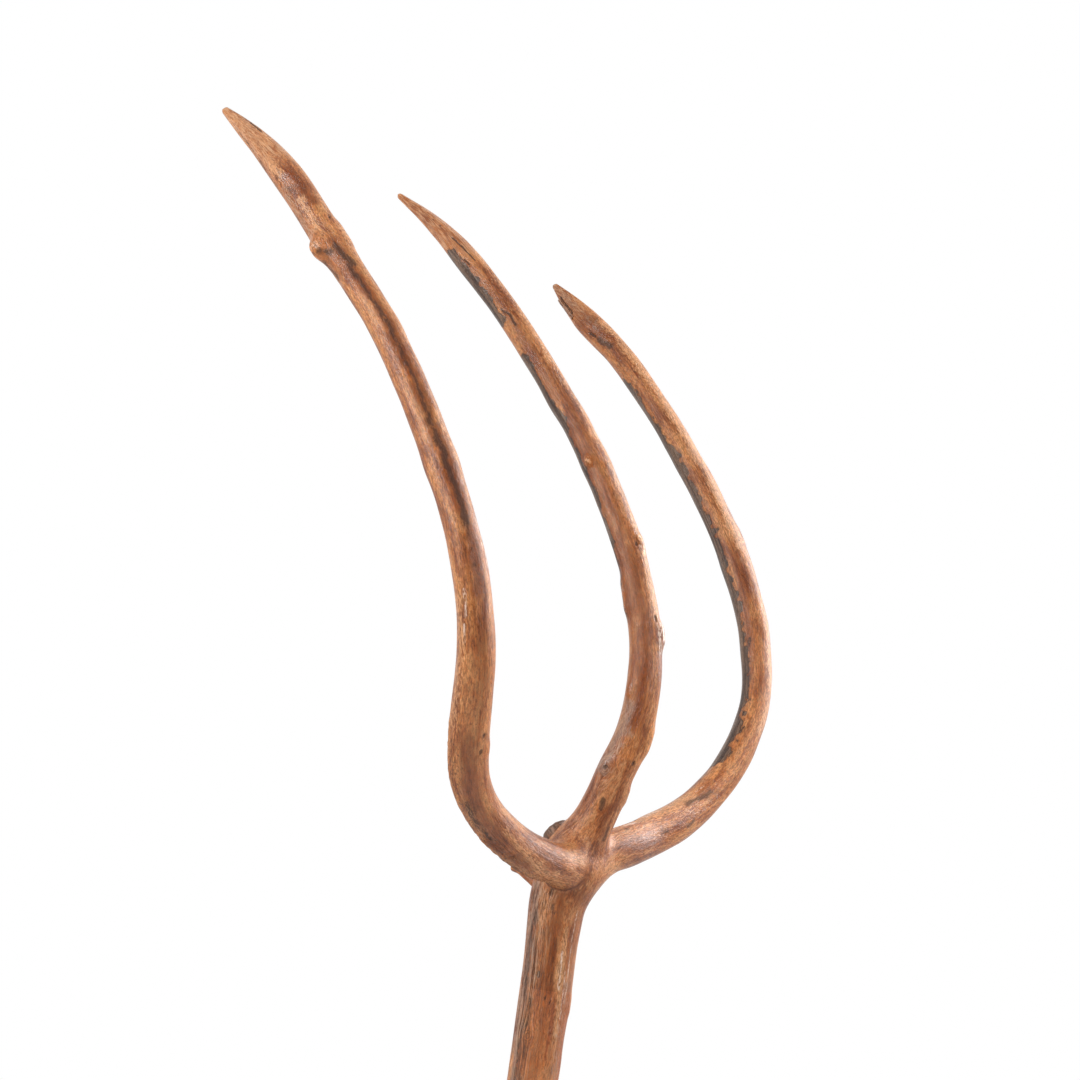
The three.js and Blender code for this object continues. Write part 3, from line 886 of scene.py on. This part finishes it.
def stump_piece(material):
    """The pruned branch: its last stretch, with a sawn face worn dark at the rim."""
    side = np.linspace(stump_start, stump.length - 1.2, STUMP_SIDE_RINGS)
    s = np.concatenate([side, np.full(STUMP_FACE_RINGS, stump.length)])
    place, angle = ring_places(s, STUMP_AROUND)
    rounding = stump.length - POINT_ROUNDING
    plain_end = stump.outer(np.full_like(place, rounding), angle)
    reach = np.where(place < rounding, stump.outer(place, angle), plain_end)
    share = np.ones(len(s))
    share[STUMP_SIDE_RINGS - 1] = 0.99
    share[STUMP_SIDE_RINGS:] = np.linspace(0.93, 0.08, STUMP_FACE_RINGS)
    share = share[:, None] * np.ones_like(place)
    rings = stump.read("centre", place) + stump.outward(place, angle) * (reach * share)[..., None]
    rough = 0.35 * noise(rings / (2.5, 2.5, 2.5), 77) * (share < 0.99)
    rings = rings - stump.along[-1] * (0.4 + rough + 0.6 * (1 - share))[..., None] * (share < 0.99)[..., None]
    grain = stump.grain(place, angle) * np.stack([share, share, np.ones_like(share)], axis=-1)
    fields = wood_fields(stump, place, angle)
    fields["end_grain"] = (share < 0.97) * np.ones_like(place)
    fields["grey"] = 0.95 * smoothstep(stump_start, stump.length - 2.0, place)
    rim = np.exp(-(((share - 0.97) / 0.05) ** 2))
    under_rim = 0.9 * np.exp(-(((place - stump.length + 3.0) / 0.6) ** 2)) * (share > 0.98)
    fields["stain"] = np.maximum(fields["stain"], np.maximum(rim, under_rim))
    name, slot = "branch_stump_wood", "weathered_wood"
    return ring_piece(name, rings, grain, stump_start, stump.length, fields, material)


SPLINTER_LOW, SPLINTER_HIGH = 586.0, 609.0
SPLINTER_ANGLE = math.radians(163.0)


def splinter_piece(material):
    """A sliver split off the right tine's point, still held at its lower end."""
    s = np.linspace(SPLINTER_LOW, SPLINTER_HIGH, 24)
    place, turn = ring_places(s, 20)
    share = (s - SPLINTER_LOW) / (SPLINTER_HIGH - SPLINTER_LOW)
    angle = np.full_like(s, SPLINTER_ANGLE)
    outward = right.outward(s, angle)
    sideways = np.cross(outward, right.read("along", s))
    middle = right.surface(s, angle) + outward * (0.1 + 1.5 * share)[:, None]
    thick = 1.15 - 0.35 * share
    wide = 1.9 - 0.7 * share
    rings = (
        middle[:, None]
        + (np.cos(turn) * thick[:, None])[..., None] * outward[:, None]
        + (np.sin(turn) * wide[:, None])[..., None] * sideways[:, None]
    )
    rings = rings + 0.18 * noise(rings / (1.2, 1.2, 1.2), 81)[..., None] * outward[:, None]
    grain = np.stack([2 * np.cos(turn), 2 * np.sin(turn), place], axis=-1)
    fields = {key: np.zeros_like(place) for key in FIELDS}
    fields["grey"] = np.full_like(place, 0.7)
    return ring_piece("tip_splinter_wood", rings, grain, s[0], s[-1], fields, material)


# ---------------------------------------------------------------- materials


# The pale tone is partly painted light, and the glint tone near the end is a painted highlight.
TONES = {
    "pale_wood_and_painted_light": "d29a6c",
    "grey": "957c6c",
    "bare_ring": "e0b48c",
    "bare_fibre": "dcae86",
    "cut_groove": "7c4c30",
    "end_ring": "80492b",
    "knot": "54301f",
    "bark_dark": "33271f",
    "bark_light": "6e5949",
    "bark_lip": "2e1c12",
    "pore": "3a2419",
    "dirt": "3a2316",
    "groove": "4a2c1c",
    "ridge": "b99880",
    "painted_glint": "eed6c5",
}


def colour(code):
    """A linear colour from a hex code as seen on a screen."""
    parts = [int(code[i : i + 2], 16) / 255 for i in (0, 2, 4)]
    return (*(p / 12.92 if p <= 0.04045 else ((p + 0.055) / 1.055) ** 2.4 for p in parts), 1.0)


class Graph:
    """A material's nodes, made by short calls that hand back sockets."""

    def __init__(self, name):
        self.material = bpy.data.materials.new(name)
        self.material.use_nodes = True
        self.tree = self.material.node_tree
        self.tree.nodes.clear()

    def add(self, kind, inputs, **settings):
        node = self.tree.nodes.new(kind)
        for key, value in settings.items():
            setattr(node, key, value)
        for key, value in inputs.items():
            if isinstance(value, bpy.types.NodeSocket):
                self.tree.links.new(value, node.inputs[key])
            else:
                node.inputs[key].default_value = value
        return node

    def math(self, operation, first, second=0.0):
        return self.add("ShaderNodeMath", {0: first, 1: second}, operation=operation).outputs[0]

    def stretch(self, vector, across, along):
        """The same vector, with so many millimetres to the unit across and along the grain."""
        scale = (1 / across, 1 / across, 1 / along)
        return self.add("ShaderNodeVectorMath", {0: vector, 1: scale}, operation="MULTIPLY").outputs[0]

    def noise(self, vector, across, along, detail=2.0, roughness=0.5, distortion=0.0):
        """Noise from 0 to 1, drawn out along the grain."""
        inputs = {
            "Vector": self.stretch(vector, across, along),
            "Scale": 1.0,
            "Detail": detail,
            "Roughness": roughness,
            "Distortion": distortion,
        }
        return self.add("ShaderNodeTexNoise", inputs).outputs[0]

    def times(self, first, second):
        return self.math("MULTIPLY", first, second)

    def plus(self, first, second):
        return self.math("ADD", first, second)

    def tint(self, base, level):
        """A colour made lighter or darker by a number about 1."""
        grey = self.add("ShaderNodeCombineColor", {0: level, 1: level, 2: level}).outputs[0]
        return self.mix(1.0, base, grey, "MULTIPLY")

    def spread(self, field, ragged, amount):
        """A patch that breaks up into flecks towards its edge."""
        return self.step(self.plus(field, self.times(self.plus(ragged, -0.5), amount)), 0.3, 0.85)

    def paint(self, base, share, strength, tone):
        """The base with one of the wood's tones laid over it."""
        return self.mix(self.times(share, strength), base, colour(TONES[tone]))

    def rings(self, depth, wander):
        """Yearly rings round the heart of the limb, which show where a cut lays them bare."""
        turns = self.plus(self.times(depth, 4.2), self.times(wander, 4.0))
        return self.plus(self.times(self.math("SINE", turns), 0.5), 0.5)

    def step(self, value, low, high):
        inputs = {"Value": value, "From Min": low, "From Max": high}
        return self.add("ShaderNodeMapRange", inputs, interpolation_type="SMOOTHSTEP").outputs[0]

    def mix(self, share, first, second, blend="MIX"):
        inputs = {0: share, 6: first, 7: second}
        node = self.add("ShaderNodeMix", inputs, data_type="RGBA", blend_type=blend)
        return node.outputs[2]

    def number(self, name):
        return self.add("ShaderNodeAttribute", {}, attribute_name=name).outputs["Fac"]

    def vector(self, name):
        return self.add("ShaderNodeAttribute", {}, attribute_name=name).outputs["Vector"]


def wood_texture(graph, grain):
    """The wood's own figure in one set of grain coordinates, from broad tones to fibres and pits."""
    return {
        "patch": graph.noise(grain, 9.0, 38.0, 3.0, 0.62, 0.5),
        "streak": graph.noise(grain, 1.9, 52.0, 3.0, 0.6),
        "mottle": graph.noise(grain, 2.3, 6.0, 4.0, 0.68, 0.6),
        "fleck": graph.noise(grain, 0.75, 2.6, 2.0, 0.6, 0.4),
        "fibre": graph.noise(grain, 0.42, 11.0, 2.0, 0.6),
        "pit": graph.noise(grain, 0.9, 1.5, 3.0, 0.7),
        "groove": graph.noise(grain, 0.8, 60.0, 2.0, 0.6),
    }


def two_figures(graph, figure):
    """The figure of the stem run into that of a side tine, by the crotch's share of each."""
    other = wood_texture(graph, graph.vector("second_grain"))
    share = graph.number("second_share")
    mixed = {}
    for key in figure:
        inputs = {0: share, 2: figure[key], 3: other[key]}
        mixed[key] = graph.add("ShaderNodeMix", inputs).outputs[0]
    return mixed


def wood_body(graph, figure, ragged, tones):
    """The wood's colour, with its deep and greyed stretches and its pale ones, which are partly painted
    light.
    """
    light, middle, dark, deepest = (colour(code) for code in tones)
    tone = graph.plus(graph.times(figure["patch"], 0.6), graph.times(figure["streak"], 0.4))
    base = graph.mix(graph.step(tone, 0.36, 0.56), dark, middle)
    light_share = graph.plus(graph.times(figure["mottle"], 0.5), graph.times(figure["patch"], 0.5))
    base = graph.mix(graph.step(light_share, 0.45, 0.64), base, light)
    deep = graph.spread(graph.number("deep"), ragged, 0.9)
    base = graph.mix(graph.times(deep, 0.75), base, deepest)
    # The pale stretches are partly paler wood and partly painted light on the limbs' lit sides.
    for key in ("pale_wood_and_painted_light", "grey"):
        base = graph.paint(base, graph.spread(graph.number(key), ragged, 0.9), 0.6, key)
    return graph.mix(graph.times(graph.number("cut"), 0.25), base, middle)


def cuts_and_knots(graph, figure, base):
    """Rings and fibres that the knife and the saw laid bare, and whorls round small knots."""
    cut = graph.number("cut")
    rings = graph.step(graph.rings(graph.number("depth"), figure["patch"]), 0.5, 0.95)
    base = graph.paint(base, graph.times(cut, rings), 0.16, "bare_ring")
    base = graph.paint(base, graph.times(cut, graph.step(figure["groove"], 0.50, 0.62)), 0.45, "bare_fibre")
    base = graph.paint(base, graph.times(cut, graph.step(figure["groove"], 0.46, 0.36)), 0.35, "cut_groove")
    base = graph.paint(base, graph.times(graph.number("end_grain"), rings), 1.0, "end_ring")
    eddy = graph.number("eddy")
    whorl = graph.math("SINE", graph.plus(graph.times(eddy, 22.0), graph.times(figure["mottle"], 5.0)))
    whorl = graph.times(graph.step(eddy, 0.12, 0.5), graph.step(whorl, 0.0, 0.9))
    return graph.paint(base, whorl, 0.55, "knot")


def bark_left_on(graph, figure, ragged, base):
    """Strips of bark with a dark lip."""
    streaks = graph.step(figure["streak"], 0.40, 0.60)
    crust = graph.mix(streaks, colour(TONES["bark_dark"]), colour(TONES["bark_light"]))
    bark = graph.plus(graph.number("bark"), graph.times(graph.plus(ragged, -0.5), 0.3))
    base = graph.mix(graph.times(graph.step(bark, 0.42, 0.50), 0.9), base, crust)
    lip = graph.times(graph.step(bark, 0.38, 0.45), graph.step(bark, 0.56, 0.48))
    return graph.paint(base, lip, 0.75, "bark_lip")


def make_wood(name, *tones, two_grains=False):
    """Old polished wood under worn wax: toned in patches and streaks, flecked, with dirt in its hollows, dirt
    and painted shade in the crotch's crease, and painted highlights and painted light on its lit sides.

    The tones are light, middle, dark and deepest.
    """
    graph = Graph(name)
    figure = wood_texture(graph, graph.vector("grain"))
    if two_grains:
        figure = two_figures(graph, figure)
    ragged = graph.plus(graph.times(figure["mottle"], 0.5), graph.times(figure["fleck"], 0.5))
    ragged = graph.step(ragged, 0.30, 0.70)
    base = wood_body(graph, figure, ragged, tones)
    base = cuts_and_knots(graph, figure, base)
    base = bark_left_on(graph, figure, ragged, base)

    worn = graph.plus(graph.times(graph.number("cut"), -0.8), 1.0)
    fleck = graph.times(worn, graph.plus(graph.step(figure["fleck"], 0.30, 0.68), -0.53))
    base = graph.tint(base, graph.plus(graph.times(fleck, 0.74), 1.0))
    fibre = graph.times(graph.step(figure["fibre"], 0.32, 0.68), 0.34)
    base = graph.tint(base, graph.plus(fibre, 0.83))
    pitted = graph.number("pitted")
    pit = graph.math("SUBTRACT", figure["pit"], graph.times(pitted, 0.06))
    pore = graph.times(worn, graph.step(pit, 0.40, 0.31))
    base = graph.paint(base, pore, graph.plus(graph.times(pitted, 0.3), 0.5), "pore")
    dirt = graph.spread(graph.number("stain"), ragged, 1.0)
    base = graph.paint(base, dirt, 0.78, "dirt")
    grooved = graph.number("grooved")
    groove = graph.times(graph.step(figure["groove"], 0.46, 0.36), grooved)
    base = graph.paint(base, groove, 0.5, "groove")
    base = graph.paint(base, graph.times(graph.step(figure["groove"], 0.56, 0.66), grooved), 0.45, "ridge")
    # Painted highlights: near-white glints broken by the fibres and flecks, a few of them standing for worn
    # white scratches.
    painted_glint = graph.step(graph.number("painted_highlight_and_scratch"), 0.25, 0.8)
    painted_glint = graph.times(painted_glint, graph.step(figure["fibre"], 0.42, 0.58))
    painted_glint = graph.times(painted_glint, graph.step(figure["fleck"], 0.38, 0.56))
    base = graph.paint(base, painted_glint, 0.85, "painted_glint")

    rough = graph.plus(graph.times(figure["mottle"], 0.30), 0.15)
    rough = graph.plus(rough, graph.times(graph.math("MAXIMUM", dirt, pitted), 0.3))
    rough = graph.plus(rough, graph.times(graph.step(figure["fibre"], 0.56, 0.42), 0.22))
    height = graph.plus(graph.times(figure["fleck"], 0.8), graph.times(figure["pit"], 0.7))
    height = graph.plus(height, graph.times(figure["mottle"], 1.1))
    height = graph.plus(height, graph.times(groove, -1.5))
    height = graph.plus(height, graph.times(graph.times(pitted, figure["pit"]), 1.5))
    height = graph.plus(graph.times(worn, height), graph.times(figure["fibre"], 0.6))
    bump = graph.add("ShaderNodeBump", {"Strength": 1.0, "Distance": 0.0003, "Height": height}).outputs[0]
    inputs = {
        "Base Color": base,
        "Roughness": rough,
        "Normal": bump,
        "Specular IOR Level": 0.4,
        "Coat Weight": 0.22,
        "Coat Roughness": 0.18,
        "Coat Normal": bump,
    }
    shader = graph.add("ShaderNodeBsdfPrincipled", inputs).outputs[0]
    graph.add("ShaderNodeOutputMaterial", {"Surface": shader})
    return graph.material


# ---------------------------------------------------------------- surroundings

BACKDROP_LIGHT = 0.85  # light that reaches the wood from behind it
ROOM_LIGHT = 0.10  # and from the camera's side of the room
FLOOR_RADIUS = 2.5


def add_light(name, place, target, size, power):
    """A soft oblong light of so many watts, aimed at a target."""
    data = bpy.data.lights.new(name, "AREA")
    data.shape = "RECTANGLE"
    data.size, data.size_y = size
    data.energy = power
    light = bpy.data.objects.new(name, data)
    bpy.context.scene.collection.objects.link(light)
    light.location = place
    light.rotation_mode = "QUATERNION"
    light.rotation_quaternion = (Vector(target) - Vector(place)).to_track_quat("-Z", "Y")


def from_camera(rightward, upward, toward):
    """A place beside the crotch in metres, as the camera sees it."""
    return Vector(CROTCH * MM + rightward * CAMERA_RIGHT + upward * CAMERA_UP + toward * CAMERA_BACK)


def make_surroundings():
    """A white studio: the backdrop is brighter than the light it sends back on to the wood."""
    world = bpy.data.worlds.new("studio")
    world.use_nodes = True
    nodes, links = world.node_tree.nodes, world.node_tree.links
    nodes["Background"].inputs["Color"].default_value = (1, 1, 1, 1)
    toward_camera = nodes.new("ShaderNodeVectorMath")
    toward_camera.operation = "DOT_PRODUCT"
    toward_camera.inputs[1].default_value = CAMERA_BACK
    links.new(nodes.new("ShaderNodeTexCoord").outputs["Generated"], toward_camera.inputs[0])
    light = nodes.new("ShaderNodeMapRange")
    light.inputs["From Min"].default_value = -1.0
    light.inputs["To Min"].default_value = BACKDROP_LIGHT
    light.inputs["To Max"].default_value = ROOM_LIGHT
    links.new(toward_camera.outputs["Value"], light.inputs["Value"])
    seen = nodes.new("ShaderNodeLightPath").outputs["Is Camera Ray"]
    strength = nodes.new("ShaderNodeMapRange")
    strength.inputs["To Max"].default_value = 1.0
    links.new(light.outputs[0], strength.inputs["To Min"])
    links.new(seen, strength.inputs["Value"])
    links.new(strength.outputs[0], nodes["Background"].inputs["Strength"])
    bpy.context.scene.world = world
    bpy.context.scene.view_settings.view_transform = "Standard"
    heart = from_camera(0, 0.2, 0)
    add_light("key", from_camera(-1.15, 0.9, 0.75), heart, (0.4, 0.9), 19)
    add_light("rim", from_camera(1.3, 0.75, -0.8), heart, (0.5, 1.6), 32)
    add_light("side", from_camera(1.2, 0.5, 0.75), heart, (0.15, 0.9), 11)
    bpy.ops.mesh.primitive_circle_add(vertices=96, radius=FLOOR_RADIUS, fill_type="NGON")
    floor = bpy.context.object
    floor.name = "floor"
    graph = Graph("floor_paper")
    paper = {"Base Color": (0.9, 0.9, 0.9, 1), "Roughness": 0.8}
    shader = graph.add("ShaderNodeBsdfPrincipled", paper).outputs[0]
    graph.add("ShaderNodeOutputMaterial", {"Surface": shader})
    floor.data.materials.append(graph.material)


# ---------------------------------------------------------------- the fork

make_camera()
make_surroundings()

handle_wood = make_wood("handle_wood", "d0905f", "b97040", "95512e", "924a1c")
tine_wood = make_wood("tine_wood", "ca8a54", "ae6837", "7c3e1a", "783608")
crotch_wood = make_wood("crotch_wood", "c48858", "a86336", "773d1c", "743609", two_grains=True)
weathered_wood = make_wood("weathered_wood", "c48f66", "a56a42", "744325", "6a3614")

handle_piece(handle_wood)
limb_piece("left_tine_wood", left, left_start, TINE_STEP, TINE_AROUND, tine_wood)
limb_piece("middle_tine_wood", trunk, middle_start, TINE_STEP, TINE_AROUND, tine_wood)
limb_piece("right_tine_wood", right, right_start, TINE_STEP, TINE_AROUND, tine_wood)
crotch_piece(crotch_wood)
stump_piece(weathered_wood)
limb_piece("twig_stub_wood", twig, twig.s[0], TWIG_STEP, TWIG_AROUND, tine_wood)
splinter_piece(weathered_wood)
